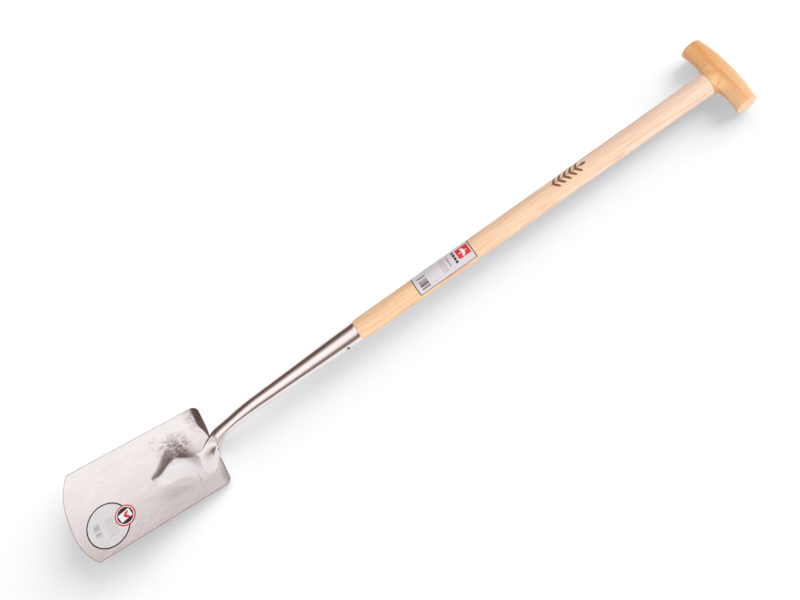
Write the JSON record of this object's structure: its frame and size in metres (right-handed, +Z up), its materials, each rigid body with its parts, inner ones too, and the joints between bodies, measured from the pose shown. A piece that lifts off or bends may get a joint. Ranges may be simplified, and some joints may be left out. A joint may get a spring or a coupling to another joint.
{
  "type": "garden spade",
  "caption": "Small digging spade with a ridged steel blade, a swan-necked socket, a round ash shaft and a turned wooden T grip, lying on its back.",
  "frame": {"origin": "middle of the bottom of the bounding box: on the ground, on the spade's plane of symmetry, half-way along its length", "axes": "+X along the spade from the cutting edge to the T grip, +Y sideways along the grip, +Z up, out of the hollow front face of the blade; the spade lies on its back on z = 0"},
  "size_m": [1.272, 0.1614, 0.076],
  "materials": {
    "blade_steel": "polished with fine grinding lines",
    "socket_steel": "polished",
    "rivet_steel": "satin",
    "ash": "smooth sanded, oiled",
    "varnished_wood": "clear orange varnish",
    "label_film": "satin printed film",
    "sticker_film": "satin clear film with a printed ring",
    "badge_film": "gloss printed film"
  },
  "bodies": {
    "root": {"blade": "blade_steel", "socket": "socket_steel", "socket_rivet": "rivet_steel", "shaft": "ash", "grip": "varnished_wood", "shaft_label": "label_film", "blade_sticker": "sticker_film", "blade_badge": "badge_film"}
  },
  "joints": []
}
